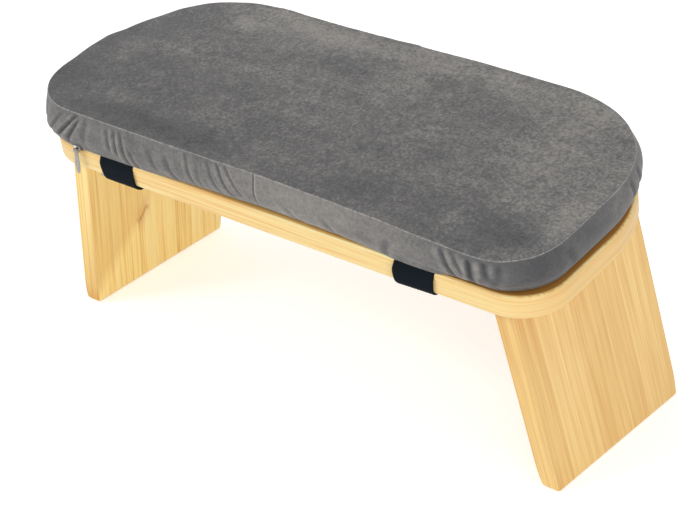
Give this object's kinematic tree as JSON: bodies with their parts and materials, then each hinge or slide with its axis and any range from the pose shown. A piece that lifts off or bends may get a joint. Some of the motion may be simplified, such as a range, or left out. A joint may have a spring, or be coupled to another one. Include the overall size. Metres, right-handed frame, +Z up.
{
  "type": "kneeling bench",
  "caption": "Low kneeling bench with a sloping D-shaped bamboo seat, splayed legs that fold flat under it, and a strapped-on zipped velour cushion.",
  "frame": {"origin": "on the floor under the middle of the bench's overall width and depth", "axes": "+X along the seat, to the right seen from its low front edge, +Y towards the high back edge, +Z up"},
  "size_m": [0.4898, 0.2184, 0.2255],
  "materials": {
    "bamboo": "satin",
    "hinge_steel": "satin",
    "hinge_pin_steel": "satin",
    "screw_steel": "satin",
    "foam": "matte",
    "velour": "matte",
    "lining": "matte",
    "zip_tape": "matte",
    "zip_metal": "satin",
    "pull_enamel": "satin",
    "elastic": "matte"
  },
  "bodies": {
    "seat": {"seat_board": "bamboo", "seat_hinge_screws": "screw_steel", "left_front_hinge_seat_leaf": "hinge_steel", "left_front_hinge_pin": "hinge_pin_steel", "left_rear_hinge_seat_leaf": "hinge_steel", "left_rear_hinge_pin": "hinge_pin_steel", "right_front_hinge_seat_leaf": "hinge_steel", "right_front_hinge_pin": "hinge_pin_steel", "right_rear_hinge_seat_leaf": "hinge_steel", "right_rear_hinge_pin": "hinge_pin_steel", "foam_core": "foam", "cover_top_panel": "velour", "cover_side_band": "velour", "cover_bottom_panel": "lining", "zip_chain": "zip_tape", "left_strap": "elastic", "right_strap": "elastic"},
    "left_leg_body": {"left_leg": "bamboo", "left_leg_screws": "screw_steel", "left_front_hinge_leg_leaf": "hinge_steel", "left_rear_hinge_leg_leaf": "hinge_steel"},
    "right_leg_body": {"right_leg": "bamboo", "right_leg_screws": "screw_steel", "right_front_hinge_leg_leaf": "hinge_steel", "right_rear_hinge_leg_leaf": "hinge_steel"},
    "slider": {"zip_slider": "zip_metal"},
    "pull": {"zip_pull": "pull_enamel"}
  },
  "joints": [
    {"name": "left_leg_fold", "type": "hinge", "parent": "seat", "child": "left_leg_body", "pos_m": [-0.19552, -0.0158, 0.15511], "axis": [0, -0.9925, -0.1219], "range_deg": [0, 100.5]},
    {"name": "right_leg_fold", "type": "hinge", "parent": "seat", "child": "right_leg_body", "pos_m": [0.19552, -0.0158, 0.15511], "axis": [0, 0.9925, 0.1219], "range_deg": [0, 100.5]},
    {"name": "zip_slide", "type": "hinge", "parent": "seat", "child": "slider", "pos_m": [-0.19325, -0.05246, 0.17307], "axis": [0, 0.1219, -0.9925], "range_deg": [0, 90]},
    {"name": "zip_pull_swing", "type": "hinge", "parent": "slider", "child": "pull", "pos_m": [-0.19325, -0.10774, 0.16628], "axis": [1, 0, 0], "range_deg": [-150, 5]}
  ]
}
